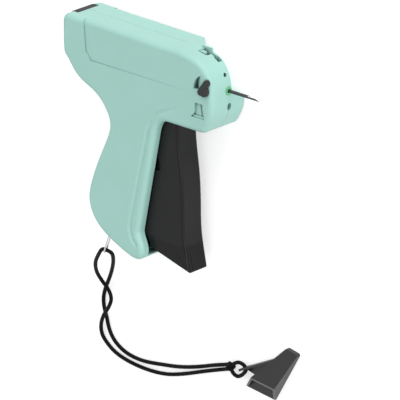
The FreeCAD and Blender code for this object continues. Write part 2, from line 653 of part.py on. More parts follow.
# ---- trigger ------------------------------------------------------------------
def trigger_faces():
    """Side outline of the trigger, and the outline of the hollow inside it."""
    px, py = TRIGGER_PIVOT.x, TRIGGER_PIVOT.y
    link = link_pin(0)

    def rear(y):
        return grip_front(y) - TRIGGER_DEPTH

    front = [
        (px + 5.2, py),
        (px + 4.9, -36.0),
        (px + 7.5, -57.6),
        (px + 8.8, -80.0),
        (px + 9.5, -97.0),
        RIB_BEND,
        (TRIGGER_TOE_X, TRIGGER_FOOT),
    ]
    back = [
        (TRIGGER_TOE_X, TRIGGER_FOOT),
        (-46.0, -112.0),
        (-57.3, -109.2),
        (-61.0, -102.0),
        (rear(-94.0), -94.0),
        (rear(link.y - 7.0), link.y - 7.0),
        (link.x - 3.6, link.y - 3.0),
        (link.x - 3.6, link.y + 3.0),
        (rear(link.y + 7.0), link.y + 7.0),
        (rear(-34.0), -34.0),
        (px - 5.2, py),
    ]
    toe_run = (flat(front)[-1] - flat(front)[-2]).normalize()
    edges = [spline(front, V(0, -1, 0), toe_run)]
    edges += [Part.LineSegment(*flat([a, b])).toShape() for a, b in zip(back, back[1:])]
    edges.append(Part.Arc(*flat([back[-1], (px, py + 5.2), front[0]])).toShape())
    return Part.Face(Part.Wire(edges))


def link_pin(squeeze):
    """Where the trigger's cross pin is, from rest (0) to full squeeze (1)."""
    return polar(TRIGGER_PIVOT, LINK_R, LINK_DIR + TRIGGER_SWING * (0.5 - squeeze))


def foot_flare(side):
    """What comes off one side of the trigger, so that it turns in towards its foot."""
    y1 = TRIGGER_FOOT + TRIGGER_FLARE_H
    outside, inside = side * (TRIGGER_W / 2 + 1.0), side * (TRIGGER_W / 2 - TRIGGER_FLARE)
    profile = [(y1, side * TRIGGER_W / 2), (TRIGGER_FOOT, inside), (TRIGGER_FOOT - 1.0, outside), (y1, outside)]
    face = Part.Face(Part.makePolygon([V(-90.0, y, z) for y, z in profile + profile[:1]]))
    return face.extrude(V(80.0, 0, 0))


def side_recess(side):
    """A shallow drop-shaped recess in the trigger's side, at the grip's front edge."""
    z0, z1 = sorted([side * (TRIGGER_W / 2 - TRIGGER_RECESS), side * (TRIGGER_W / 2 + 1.0)])
    low = V(-48.4, -56.6, 0)
    radius = 2.7
    tip = [(-49.3, -47.5), (low.x + radius * 0.94, low.y + radius * 0.34), (low.x - 3.0, low.y), (-52.0, -49.0)]
    return prism(tip, z0, z1).fuse(peg(low.x, low.y, z0, z1, radius))


def foot_rib(z):
    """A low rib on the trigger's front, above its toe."""
    slope = (TRIGGER_TOE_X - RIB_BEND[0]) / (TRIGGER_FOOT - RIB_BEND[1])
    ends = [V(RIB_BEND[0] - 0.1 + slope * (y - RIB_BEND[1]), y, z) for y in (RIB_TOP, RIB_END)]
    bar = Part.makeCylinder(RIB_R, (ends[1] - ends[0]).Length, ends[0], ends[1] - ends[0])
    return fuse([bar] + [Part.makeSphere(RIB_R, end) for end in ends])


def make_trigger():
    face = trigger_faces()
    half = TRIGGER_W / 2
    body = slab(face, -half + TRIGGER_ROUND, half - TRIGGER_ROUND)
    edge = rounded(slab(face, 0.0, 2 * TRIGGER_ROUND), TRIGGER_ROUND, 2 * TRIGGER_ROUND)
    edge.translate(V(0, 0, half - 2 * TRIGGER_ROUND))
    body = fuse([body, edge, edge.mirror(V(0, 0, 0), V(0, 0, 1))])
    hollow = face.copy()
    hollow.translate(V(-TRIGGER_FRONT, 0, 0))
    room = slab(face, -half + TRIGGER_WALL, half - TRIGGER_WALL)
    room = room.common(slab(hollow, -half, half))
    drop = block(-90.0, 0.0, TRIGGER_FOOT + 5.4 + TRIGGER_FRONT, 0.0, -half, half)
    room = room.common(drop)
    wide = room.fuse(room.translated(V(-12.0, 0, 0)))
    body = body.cut(wide)
    for side in (-1, 1):
        body = body.cut(foot_flare(side)).cut(side_recess(side))
    for z in RIBS_Z:
        body = body.fuse(foot_rib(z))
    body = body.cut(peg(TRIGGER_PIVOT.x, TRIGGER_PIVOT.y, -half - 1, half + 1, TRIGGER_PIN_R + RUN_GAP))
    pin = link_pin(0)
    return body.cut(peg(pin.x, pin.y, -half - 1, half + 1, LINK_PIN_R + 0.02))


# ---- mechanism ----------------------------------------------------------------
def make_drive_lever():
    """Lever drawn upright in mid travel, then leaned back to its rest angle."""
    p = LEVER_PIVOT
    half = LEVER_T / 2
    arm_top = SLIDER_PIN_R + 6.5
    long_arm = prism(
        [
            (p.x - LEVER_HALF_W, p.y),
            (p.x - LEVER_HALF_W * 0.88, arm_top),
            (p.x + LEVER_HALF_W * 0.88, arm_top),
            (p.x + LEVER_HALF_W, p.y),
        ],
        -half, half,
    )
    fork = block(
        p.x - SLIDER_PIN_R - SLOT_GAP, p.x + SLIDER_PIN_R + SLOT_GAP, -SLIDER_PIN_R - 2.5, arm_top + 1, -half - 1, half + 1
    )
    hub = peg(p.x, p.y, -half, half, LEVER_HALF_W + 0.6)
    toward = LINK_DIR
    foot_end = polar(p, LEVER_SHORT + 4.5, toward)
    side = polar(V(0, 0, 0), LEVER_HALF_W * 0.85, toward + 90)
    foot = prism(
        [
            (p.x + side.x, p.y + side.y),
            (foot_end.x + side.x, foot_end.y + side.y),
            (foot_end.x - side.x, foot_end.y - side.y),
            (p.x - side.x, p.y - side.y),
        ],
        -half, half,
    )
    width = polar(V(0, 0, 0), LINK_PIN_R + 0.3, toward + 90)
    near = polar(p, LEVER_SHORT - LINK_PIN_R - 1.6, toward)
    far = polar(p, LEVER_SHORT + 6.0, toward)
    foot_slot = prism(
        [
            (near.x + width.x, near.y + width.y),
            (far.x + width.x, far.y + width.y),
            (far.x - width.x, far.y - width.y),
            (near.x - width.x, near.y - width.y),
        ],
        -half - 1, half + 1,
    )
    lever = fuse([long_arm, hub, foot]).cut(fork).cut(foot_slot)
    lever = lever.cut(peg(p.x, p.y, -half - 1, half + 1, LEVER_PIN_R + RUN_GAP))
    return turned(lever, p, LEVER_SWING / 2)


def make_slider():
    x0, x1 = SLIDER_BACK, SLIDER_BACK + SLIDER_LEN
    half_w, half_h = SLIDER_W / 2, SLIDER_H / 2
    body = block(x0, x1, -half_h, half_h, -half_w, half_w)
    lever_room = block(x0 - 1, x1 - SLIDER_FRONT, -half_h - 1, half_h + 1, -LEVER_T / 2 - 0.5, LEVER_T / 2 + 0.5)
    body = body.cut(lever_room)
    body = body.cut(peg(SLIDER_REST, 0, -half_w - 1, half_w + 1, SLIDER_PIN_R + 0.02))
    return body.cut(rod_x(x1 - SLIDER_FRONT - 0.5, x1 + 1, 0, 0, ROD_R + 0.01))


def make_push_rod():
    back = SLIDER_BACK + SLIDER_LEN - SLIDER_FRONT + 0.1
    return rod_x(back, ROD_REST, 0, 0, ROD_R)


def make_needle():
    tube = rod_x(-NEEDLE_TAIL, NEEDLE_REACH, 0, 0, NEEDLE_R)
    tube = tube.fuse(rod_x(-NEEDLE_TAIL, BASE_PROUD, 0, 0, NEEDLE_ROOT_R))
    tube = tube.cut(rod_x(-NEEDLE_TAIL - 1, NEEDLE_REACH + 1, 0, 0, NEEDLE_BORE_R))
    slit = block(-NEEDLE_TAIL - 1, NEEDLE_REACH + 1, -NEEDLE_SLOT / 2, NEEDLE_SLOT / 2, -NEEDLE_ROOT_R - 1, 0)
    tube = tube.cut(slit)
    x0 = NEEDLE_REACH - NEEDLE_BEVEL
    points = [(x0, NEEDLE_R + 0.1), (NEEDLE_REACH + 0.1, -NEEDLE_R), (NEEDLE_REACH + 2, 3.0), (x0, 3.0)]
    return tube.cut(prism(points, -3, 3))


def make_needle_base():
    base = rod_x(-BASE_LEN + BASE_PROUD, BASE_PROUD, 0, 0, BASE_R)
    base = base.cut(rod_x(-BASE_LEN - 1, BASE_PROUD + 1, 0, 0, NEEDLE_ROOT_R + 0.02))
    slit = block(-BASE_LEN - 1, BASE_PROUD + 1, -NEEDLE_SLOT / 2, NEEDLE_SLOT / 2, -BASE_R - 1, 0)
    return base.cut(slit)


def make_needle_lock():
    """A flat knob with a tail over a hollow, on a stem that ends at the base."""
    z0, z1 = HALF_T + LOCK_LIFT, HALF_T + LOCK_PROUD
    pivot = V(LOCK_X, LOCK_Y, 0)
    tail = polar(pivot, LOCK_TAIL, LOCK_TAIL_DIR)
    heel = polar(pivot, LOCK_HEEL, LOCK_HEEL_DIR)
    run = (tail - heel).normalize()
    side = V(-run.y, run.x, 0)
    web = prism(
        [(p.x, p.y) for p in (heel + side * LOCK_ARM_R, tail + side * LOCK_ARM_R,
                              tail - side * LOCK_ARM_R, heel - side * LOCK_ARM_R)],
        z0, z1,
    )
    knob = fuse([
        peg(pivot.x, pivot.y, z0, z1, LOCK_R),
        peg(tail.x, tail.y, z0, z1, LOCK_ARM_R),
        peg(heel.x, heel.y, z0, z1, LOCK_ARM_R),
        web,
    ])
    knob = rounded(knob, LOCK_ROUND, z1)
    return knob.fuse(peg(pivot.x, pivot.y, BASE_R + 1.8, z0 + 0.2, LOCK_STEM_R))


def make_feed_wheel():
    x1 = WHEEL_X0 + WHEEL_LEN
    hub = rod_x(WHEEL_X0, x1, WHEEL_Y, WHEEL_Z, WHEEL_ROOT_R)
    parts = [hub]
    for i in range(WHEEL_TEETH):
        tooth = block(WHEEL_X0, x1, WHEEL_Y + 2.0, WHEEL_Y + WHEEL_TIP_R, WHEEL_Z - 0.45, WHEEL_Z + 0.45)
        tooth.rotate(V(WHEEL_X0, WHEEL_Y, WHEEL_Z), V(1, 0, 0), 360.0 * i / WHEEL_TEETH)
        parts.append(tooth)
    wheel = fuse(parts)
    return wheel.cut(rod_x(WHEEL_X0 - 1, x1 + 1, WHEEL_Y, WHEEL_Z, WHEEL_SHAFT_R + RUN_GAP))


def make_feed_shaft():
    return rod_x(WHEEL_X0 - 2.5, WHEEL_X0 + WHEEL_LEN + 2.5, WHEEL_Y, WHEEL_Z, WHEEL_SHAFT_R)


def make_spring():
    """Return spring, from its seat at the rear to the back of the slider."""
    x0 = SPRING_X0
    x1 = SLIDER_BACK - 0.3
    pitch = (x1 - x0 - 1.0) / SPRING_TURNS
    helix = Part.makeHelix(pitch, pitch * SPRING_TURNS, SPRING_R)
    start = V(SPRING_R, 0, 0)
    ring = Part.Wire([Part.Circle(start, V(0, 1, 0), SPRING_WIRE_R).toShape()])
    coil = Part.Wire(helix.Edges).makePipeShell([ring], True, True)
    coil.rotate(V(0, 0, 0), V(0, 1, 0), 90)
    coil.translate(V(x0 + 0.5, 0, 0))
    return coil


def cross_pin(centre, radius):
    reach = HALF_T - WALL - 0.7
    return peg(centre.x, centre.y, -reach, reach, radius)


def make_trigger_pin():
    return cross_pin(TRIGGER_PIVOT, TRIGGER_PIN_R)


def make_lever_pin():
    return cross_pin(LEVER_PIVOT, LEVER_PIN_R)


def make_slider_pin():
    return peg(SLIDER_REST, 0, -SLIDER_W / 2, SLIDER_W / 2, SLIDER_PIN_R)


def make_link_pin():
    pin = link_pin(0)
    return peg(pin.x, pin.y, -TRIGGER_W / 2, TRIGGER_W / 2, LINK_PIN_R)


def make_feed_pawl():
    return pawl_place(0)


def make_screws():
    screws = []
    for s in SCREWS:
        z_head = -HALF_T + SCREW_HEAD_T + 1.4
        head = peg(s.x, s.y, z_head - SCREW_HEAD_T, z_head, SCREW_HEAD_R)
        cross = block(s.x - 1.5, s.x + 1.5, s.y - 0.3, s.y + 0.3, z_head - SCREW_HEAD_T - 1, z_head - 0.7)
        head = head.cut(cross).cut(turned(cross, s, 90))
        screws.append(head.fuse(peg(s.x, s.y, z_head, z_head + SCREW_LEN, SCREW_R)))
    return Part.Compound(screws)


def make_plug():
    x0 = -BODY_BACK + PLUG_INSET + FIT_GAP
    x1 = x0 + PLUG_L - 2 * FIT_GAP
    half = PLUG_W / 2 - FIT_GAP
    y0 = BODY_TOP - PLUG_T + 0.2
    return block(x0, x1, y0, BODY_TOP - 0.25, -half, half)


# ---- lanyard --------------------------------------------------------------------
def make_lanyard_eye():
    """A hairpin of wire, with its two legs in the heel of the right shell."""
    half = EYE_GAP / 2
    side = eye_side()
    inner = EYE_ROOT - EYE_DIR * EYE_IN
    turn = EYE_ROOT + EYE_DIR * (EYE_OUT - half)
    path = Part.Wire([
        Part.LineSegment(inner - side * half, turn - side * half).toShape(),
        Part.Arc(turn - side * half, turn + EYE_DIR * half, turn + side * half).toShape(),
        Part.LineSegment(turn + side * half, inner + side * half).toShape(),
    ])
    ring = Part.Wire([Part.Circle(inner - side * half, EYE_DIR, EYE_WIRE_R).toShape()])
    return path.makePipeShell([ring], True, True)


def cord_path(points):
    """Straight runs joined by tangent arcs, each as large as its two runs allow."""
    edges = []
    radii = []
    last = points[0]
    for before, here, after in zip(points, points[1:], points[2:]):
        into, out = here - before, after - here
        half_turn = into.getAngle(out) / 2
        cut = 0.45 * min(into.Length, out.Length)
        radii.append(cut / math.tan(half_turn))
        start = here - V(into).normalize() * cut
        end = here + V(out).normalize() * cut
        to_middle = (V(out).normalize() - V(into).normalize()).normalize()
        middle = here + to_middle * (radii[-1] / math.cos(half_turn) - radii[-1])
        edges.append(Part.LineSegment(last, start).toShape())
        edges.append(Part.Arc(start, middle, end).toShape())
        last = end
    edges.append(Part.LineSegment(last, points[-1]).toShape())
    print("cord radii", [round(r, 1) for r in radii])
    return Part.Wire(edges)


def knot_ball():
    return Part.makeSphere(KNOT_R, V(KNOT_AT.x, KNOT_AT.y, KNOT_R - HALF_T))


def make_lanyard_cord():
    """One cord, from the knot to the eye, through it and back beside itself."""
    points = [V(*p) - SHIFT for p in CORD_ROUTE]
    path = cord_path(points)
    ring = Part.Wire([Part.Circle(points[0], points[1] - points[0], CORD_R).toShape()])
    tube = path.makePipeShell([ring], True, True)
    print("cord volume", round(tube.Volume, 1), "expected", round(math.pi * CORD_R**2 * path.Length, 1))
    return tube.cut(knot_ball())


def tab_run():
    """Unit direction of the cap's tab, from its end to its root."""
    return (TAB_ROOT - TAB_END).normalize()


def make_cord_loop():
    """The loop that ties the knot to the cap's tab, lying flat."""
    centre = TAB_END + tab_run() * (TAB_HOLE - LOOP_R) + V(0, 0, KNOT_R - HALF_T)
    loop = Part.makeTorus(LOOP_R, CORD_R, centre, V(0, 0, 1))
    return loop.cut(knot_ball())


def cap_slant(narrow_left, wide_left, wide_right, under):
    """What is above the cap's top, or above a ceiling under it, from the mouth to the closed end."""
    along = (wide_right - wide_left).normalize()
    out = V(-along.y, along.x, 0)
    run = (narrow_left - wide_left).dot(out)
    fall = (CAP_T - CAP_NARROW_T) / (run - CAP_LIP)
    end = run + CAP_LIP
    profile = [(CAP_LIP, CAP_T), (end, CAP_T - fall * (end - CAP_LIP)), (end, 3 * CAP_T), (CAP_LIP, 3 * CAP_T)]
    base = wide_left - along * (2 * CAP_LIP) - V(0, 0, HALF_T + under)
    points = [base + out * d + V(0, 0, z) for d, z in profile]
    face = Part.Face(Part.makePolygon(points + [points[0]]))
    return face.extrude(along * (8 * CAP_LIP))


def cap_mouth_wedge(corner_left, corner_right):
    """What the slanted mouth takes off above the cap's lower wall."""
    along = (corner_right - corner_left).normalize()
    out = V(along.y, -along.x, 0)
    profile = [(-CAP_LIP, CAP_T), (0.0, CAP_WALL), (CAP_LIP, CAP_WALL), (CAP_LIP, 2 * CAP_T), (-CAP_LIP, 2 * CAP_T)]
    base = corner_left - along * CAP_LIP - V(0, 0, HALF_T)
    points = [base + out * d + V(0, 0, z) for d, z in profile]
    face = Part.Face(Part.makePolygon(points + [points[0]]))
    return face.extrude(along * (2 * CAP_LIP + (corner_right - corner_left).Length))


def make_needle_cap():
    """A flat tapered cap, open at its wide end, with a tab for the cord."""
    narrow_left, narrow_right, wide_right, wide_left = flat(CAP_OUTLINE)
    body = prism(CAP_OUTLINE, -HALF_T, -HALF_T + CAP_T)
    narrow = [e for e in body.Edges if abs(e.CenterOfMass.y - narrow_right.y) < 4.0 and len(e.Vertexes) == 2
              and abs(e.CenterOfMass.z + HALF_T - CAP_T / 2) < 0.01]
    body = body.makeFillet(CAP_ROUND, narrow)
    right_run = (wide_right - narrow_right).normalize() * CAP_LIP
    left_run = (wide_left - narrow_left).normalize() * CAP_LIP
    longer = [narrow_left, narrow_right, wide_right + right_run, wide_left + left_run]
    room = polygon([(p.x, p.y) for p in longer]).makeOffset2D(-CAP_WALL)
    above = cap_slant(narrow_left, wide_left, wide_right, 0)
    hollow = slab(room, -HALF_T + CAP_WALL, -HALF_T + CAP_T - CAP_WALL)
    hollow = hollow.cut(cap_slant(narrow_left, wide_left, wide_right, CAP_WALL))
    body = body.cut(above).cut(hollow)
    body = body.cut(cap_mouth_wedge(wide_left, wide_right))

    run = tab_run()
    thick = V(-run.y, run.x, 0) * (TAB_T / 2)
    reach = run * CAP_WALL
    plate = prism(
        [(p.x, p.y) for p in (TAB_END + thick, TAB_ROOT + thick + reach, TAB_ROOT - thick + reach, TAB_END - thick)],
        -HALF_T, -HALF_T + TAB_H,
    )
    side_run = (wide_left - narrow_left).normalize()
    low_corner = wide_left - side_run * (2 * TAB_H) + V(side_run.y, -side_run.x, 0) * (-CAP_WALL / 2)
    web = prism(
        [(p.x, p.y) for p in (TAB_END, TAB_ROOT + reach, low_corner)], -HALF_T, -HALF_T + TAB_T / 2
    )
    hole_at = TAB_END + run * TAB_HOLE + V(0, 0, KNOT_R - HALF_T)
    across = V(-run.y, run.x, 0)
    hole = Part.makeCylinder(TAB_HOLE_R, 4 * TAB_T, hole_at - across * (2 * TAB_T), across)
    tab = fuse([plate, web]).cut(above).cut(slab(room, -HALF_T + CAP_WALL, -HALF_T + CAP_T))
    return fuse([body, tab]).cut(hole)


NODES = {
    "right_shell": make_right_shell,
    "left_shell": make_left_shell,
    "trigger": make_trigger,
    "drive_lever": make_drive_lever,
    "slider": make_slider,
    "push_rod": make_push_rod,
    "needle": make_needle,
    "needle_base": make_needle_base,
    "needle_lock": make_needle_lock,
    "feed_wheel": make_feed_wheel,
    "feed_shaft": make_feed_shaft,
    "feed_pawl": make_feed_pawl,
    "return_spring": make_spring,
    "trigger_pin": make_trigger_pin,
    "lever_pin": make_lever_pin,
    "slider_pin": make_slider_pin,
    "link_pin": make_link_pin,
    "shell_screws": make_screws,
    "rear_plug": make_plug,
    "lanyard_eye": make_lanyard_eye,
    "lanyard_cord": make_lanyard_cord,
    "cord_loop": make_cord_loop,
    "cord_knot": knot_ball,
    "needle_cap": make_needle_cap,
}

os.makedirs("parts", exist_ok=True)
for name, make in NODES.items():
    solid = make()
    solid.translate(SHIFT)
    solid.exportStep("parts/" + name + ".step")
    b = solid.BoundBox
    print(name, len(solid.Solids), solid.isValid(), round(solid.Volume, 1),
          [round(c, 1) for c in (b.XMin, b.XMax, b.YMin, b.YMax, b.ZMin, b.ZMax)])
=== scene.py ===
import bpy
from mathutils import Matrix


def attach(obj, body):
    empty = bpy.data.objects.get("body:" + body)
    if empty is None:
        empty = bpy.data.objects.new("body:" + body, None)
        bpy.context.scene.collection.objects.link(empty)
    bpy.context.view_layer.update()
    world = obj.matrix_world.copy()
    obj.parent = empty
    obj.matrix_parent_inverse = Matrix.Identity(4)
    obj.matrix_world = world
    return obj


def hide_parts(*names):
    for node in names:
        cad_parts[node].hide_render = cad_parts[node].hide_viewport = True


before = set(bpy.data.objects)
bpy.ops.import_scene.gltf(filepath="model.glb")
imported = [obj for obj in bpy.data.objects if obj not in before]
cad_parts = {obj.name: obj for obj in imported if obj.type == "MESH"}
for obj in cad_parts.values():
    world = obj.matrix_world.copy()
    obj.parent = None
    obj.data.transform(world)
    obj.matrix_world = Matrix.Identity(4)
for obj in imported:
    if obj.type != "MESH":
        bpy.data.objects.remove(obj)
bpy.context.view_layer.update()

import math

import bpy
import numpy as np
from mathutils import Matrix, Vector

bl_info = {
    "name": "Garment tag attacher",
    "version": (1, 0, 0),
    "blender": (4, 5, 0),
    "location": "3D View > Sidebar > Tag attacher",
    "description": "Finishes, lanyard, camera and studio for a hand-held tag attacher",
    "category": "Object",
}

# The frame is in metres. The tool lies on its left side: x is forward along the
# needle, y is towards the top of the body, and z is up from the table.
MM = 0.001

# middle line of the lanyard cord, from the knot to the wire eye and back, in mm
CORD_ROUTE = [
    (39.9, -133.4, 2.4), (35.1, -135.4, 1.7), (26.5, -138.6, 1.3), (14.4, -143.2, 1.3),
    (-0.2, -149.1, 1.3), (-14.9, -153.7, 1.3), (-30.6, -155.0, 1.3), (-44.7, -154.1, 1.3),
    (-55.5, -151.7, 1.3), (-62.1, -148.0, 1.3), (-67.7, -143.0, 1.3), (-67.6, -135.9, 2.6),
    (-62.0, -126.7, 6.0), (-56.6, -119.8, 6.6), (-54.4, -113.7, 6.4), (-56.7, -108.4, 6.6),
    (-60.6, -103.0, 8.6), (-61.1, -95.7, 13.0), (-55.6, -86.1, 19.5), (-48.1, -77.6, 24.0),
    (-43.5, -72.2, 25.8), (-39.5, -73.6, 24.2), (-39.1, -75.9, 21.5), (-44.1, -84.1, 15.5),
    (-52.4, -94.9, 8.5), (-60.0, -104.7, 3.6), (-65.1, -112.4, 1.3), (-66.4, -118.3, 1.3),
    (-65.8, -124.1, 1.3), (-63.7, -129.4, 1.3), (-62.3, -135.5, 1.3), (-59.5, -141.3, 1.3),
    (-54.6, -145.8, 1.3), (-46.3, -149.4, 1.3), (-33.9, -150.4, 1.3), (-19.0, -148.2, 1.3),
    (-3.5, -145.5, 1.3), (11.2, -141.1, 1.3), (24.1, -136.2, 1.3), (33.9, -132.9, 1.7),
    (39.4, -130.8, 2.5),
]
# the cord is doubled, and its middle hangs in the wire eye after this point of the route
EYE_POINT = 20

# the small loop, from the hole in the cap's tab through the knot and back, in mm
LOOP_ROUTE = [
    (51.3, -129.6, 3.1), (49.6, -128.0, 3.0), (45.6, -127.4, 3.0), (41.6, -129.6, 3.2),
    (39.6, -132.6, 3.2), (40.2, -136.2, 2.4), (43.4, -138.0, 1.9), (47.2, -135.9, 2.2),
    (50.4, -132.6, 2.8), (51.6, -130.9, 3.1),
]

# the knot is a cord that crosses itself three times; its sizes are those of the cord's
# middle line, in mm
KNOT_CENTRE = Vector((39.25, -132.2, 3.1)) * MM
KNOT_POINTS = 24
KNOT_ALONG = 1.25       # half its length along the cord that it is tied in
KNOT_ACROSS = 0.70      # a third of half its width across that cord
KNOT_UP = 0.66          # a third of half its height

# height of the yarns as a share of the cord's radius, and of their crown as a share of that
BRAID_RELIEF = 0.20
YARN_CROWN = 0.45
BRAID_SIDES = 20        # points round the cord
BRAID_STEP = 0.00034    # from one ring of points to the next, in metres
CURVE_ORDER = 3         # how smoothly a route bends at its points
CURVE_STEPS = 24        # steps from one of its points to the next

# the trigger's foot is smoother, with a darker black that is painted shade, below the lower
# height, and neither above the upper one, in metres
FOOT_POLISH_AND_SHADE_BELOW = -0.0562
FOOT_PLAIN_ABOVE = -0.0538
# painted shade: the foot's darker black stands in for the shade band at its lower end
FOOT_SHADE_BLACK = (0.0008, 0.0008, 0.0009, 1.0)
FOOT_ROUGHNESS = 0.2

# painted shade: a hole, notch or corner that is narrower than this is painted darker, in metres
CREVICE_REACH = 3.5 * MM
CREVICE_SAMPLES = 12
CREVICE_CLOSED = 0.20   # a spot that sees no more open space than this is fully dark
CREVICE_OPEN = 0.80     # and one that sees more than this isn't dark at all
# most of a noise's values lie between these
NOISE_LOW = 0.35
NOISE_HIGH = 0.65

# marks in moulded plastic, with sizes in metres
CLOUD_SIZE = 0.022
RUB_SIZE = 0.012
RUB_SCALE = (1.0, 6.0, 1.0)     # the rub marks are this many times narrower along x, y and z
COARSE_GRAIN = 9.0      # size of the coarse grain, against the fine one
GLOSS_SPREAD = 0.05     # how much rougher or smoother the rub marks are

# marks in worked steel, with sizes in metres
LINE_SCALE = 0.06       # the fine lines are one over this times longer than wide
LINE_DEPTH = 0.05       # and this deep, against their width
POLISH_SIZE = 0.004
POLISH_DARK = 0.86
POLISH_BRIGHT = 1.08

# marks in the cord's yarns, with sizes in metres
FIBRE_SIZE = 0.00016
FIBRE_DEPTH = 0.00004
WEAR_SIZE = 0.006
WEAR_DARK = 0.75
WEAR_PALE = 1.9

# the camera's own axes and the point that it looks at, in metres
CAMERA_RIGHT = Vector((0.737277, 0.0, -0.675590))
CAMERA_UP = Vector((-0.245409, 0.931691, -0.267817))
CAMERA_BACK = Vector((0.629441, 0.363251, 0.686915))
CAMERA_TARGET = Vector((0.025529, -0.026465, 0.015))
CAMERA_SENSOR = 36.0    # mm

# where the lamps' light comes from, and how wide each of them looks from the tool
FRONT_LAMP_FROM = Vector((0.90, 0.22, 0.36))
TOP_LAMP_FROM = Vector((0.10, 0.92, 0.40))
LAMP_WIDTH = math.radians(45.0)

FLOOR_HALF = 3.0        # half the floor's side, in metres
FLOOR_GLOW = 0.52       # how much the floor's own white is raised where it is seen directly
WHITE = (1.0, 1.0, 1.0, 1.0)


# ---- settings -----------------------------------------------------------------
class CasingSettings(bpy.types.PropertyGroup):
    """Finish of the two casing shells and the plug in their top."""

    shell_colour: bpy.props.FloatVectorProperty(
        name="Shell", description="Colour of the moulded casing",
        default=(0.410, 0.710, 0.634), subtype="COLOR", size=3, min=0, max=1)
    plug_colour: bpy.props.FloatVectorProperty(
        name="Plug", description="Colour of the plug in the top face",
        default=(0.006, 0.007, 0.007), subtype="COLOR", size=3, min=0, max=1)
    grain: bpy.props.FloatProperty(
        name="Grain", description="Size of the moulded grain",
        default=0.00022, unit="LENGTH", subtype="DISTANCE", min=0.00005, max=0.002, precision=5)


class TriggerSettings(bpy.types.PropertyGroup):
    """Finish of the trigger."""

    colour: bpy.props.FloatVectorProperty(
        name="Trigger", description="Colour of the trigger",
        default=(0.0080, 0.0080, 0.0083), subtype="COLOR", size=3, min=0, max=1)
    grain: bpy.props.FloatProperty(
        name="Grain", description="Size of the moulded grain",
        default=0.00030, unit="LENGTH", subtype="DISTANCE", min=0.00005, max=0.002, precision=5)


class NeedleSettings(bpy.types.PropertyGroup):
    """Finish of the needle, its base and its lock knob."""

    base_colour: bpy.props.FloatVectorProperty(
        name="Base", description="Colour of the plastic base that holds the needle",
        default=(0.15, 0.66, 0.29), subtype="COLOR", size=3, min=0, max=1)
    steel_colour: bpy.props.FloatVectorProperty(
        name="Needle", description="Colour of the needle's dark steel",
        default=(0.105, 0.102, 0.105), subtype="COLOR", size=3, min=0, max=1)
    knob_colour: bpy.props.FloatVectorProperty(
        name="Knob", description="Colour of the needle lock knob",
        default=(0.015, 0.016, 0.016), subtype="COLOR", size=3, min=0, max=1)


class MechanismSettings(bpy.types.PropertyGroup):
    """Finish of the lever, slider, feed wheel, pins and springs inside."""

    nylon_colour: bpy.props.FloatVectorProperty(
        name="Nylon", description="Colour of the inner plastic pieces",
        default=(0.62, 0.61, 0.55), subtype="COLOR", size=3, min=0, max=1)
    steel_colour: bpy.props.FloatVectorProperty(
        name="Steel", description="Colour of the bright steel pieces",
        default=(0.60, 0.60, 0.61), subtype="COLOR", size=3, min=0, max=1)


class LanyardSettings(bpy.types.PropertyGroup):
    """Size and finish of the braided cord, its knot and the needle cap."""

    cord_diameter: bpy.props.FloatProperty(
        name="Cord", description="Diameter of the braided cord",
        default=0.0025, unit="LENGTH", subtype="DISTANCE", min=0.001, max=0.005, precision=4)
    braid_pitch: bpy.props.FloatProperty(
        name="Pitch", description="Length of one turn of the cord's yarns",
        default=0.0062, unit="LENGTH", subtype="DISTANCE", min=0.002, max=0.03, precision=4)
    braid_yarns: bpy.props.IntProperty(
        name="Yarns", description="Yarns that turn each way round the cord",
        default=4, min=2, max=12)
    cord_colour: bpy.props.FloatVectorProperty(
        name="Cord colour", description="Colour of the cord's yarns",
        default=(0.003, 0.003, 0.0032), subtype="COLOR", size=3, min=0, max=1)
    cap_colour: bpy.props.FloatVectorProperty(
        name="Cap colour", description="Colour of the needle cap",
        default=(0.012, 0.012, 0.0125), subtype="COLOR", size=3, min=0, max=1)


class StageSettings(bpy.types.PropertyGroup):
    """Camera, lamps and floor."""

    lens: bpy.props.FloatProperty(
        name="Lens", description="Focal length of the camera, in millimetres",
        default=450.0, min=20.0, max=900.0)
    distance: bpy.props.FloatProperty(
        name="Distance", description="From the camera to the point that it looks at",
        default=2.925, unit="LENGTH", subtype="DISTANCE", min=0.3, max=20.0)
    floor_colour: bpy.props.FloatVectorProperty(
        name="Floor", description="Colour of the floor",
        default=(0.86, 0.86, 0.86), subtype="COLOR", size=3, min=0, max=1)
    front_lamp: bpy.props.FloatProperty(
        name="Front lamp", description="Strength of the lamp in front of the nose",
        default=1.15, min=0.0, max=10.0)
    top_lamp: bpy.props.FloatProperty(
        name="Top lamp", description="Strength of the lamp beyond the top of the body",
        default=1.00, min=0.0, max=10.0)
    room_light: bpy.props.FloatProperty(
        name="Room", description="Strength of the light from all round",
        default=0.55, min=0.0, max=2.0)


# ---- material helpers -----------------------------------------------------------
def tint(colour, factor):
    """The colour made lighter or darker by a factor, with full alpha."""
    return tuple(min(1.0, c * factor) for c in colour) + (1.0,)


def surface(name, roughness, specular=0.4, metallic=0.0):
    """A new material with its node tree and its main shader."""
    material = bpy.data.materials.new(name)
    material.use_nodes = True
    tree = material.node_tree
    shader = tree.nodes["Principled BSDF"]
    shader.inputs["Roughness"].default_value = roughness
    shader.inputs["Specular IOR Level"].default_value = specular
    shader.inputs["Metallic"].default_value = metallic
    return material, tree, shader


def place(tree, scale=(1, 1, 1)):
    """The object's own coordinates in metres, multiplied by a scale along each axis."""
    coordinates = tree.nodes.new("ShaderNodeTexCoord")
    mapping = tree.nodes.new("ShaderNodeMapping")
    mapping.inputs["Scale"].default_value = scale
    tree.links.new(coordinates.outputs["Object"], mapping.inputs["Vector"])
    return mapping.outputs["Vector"]


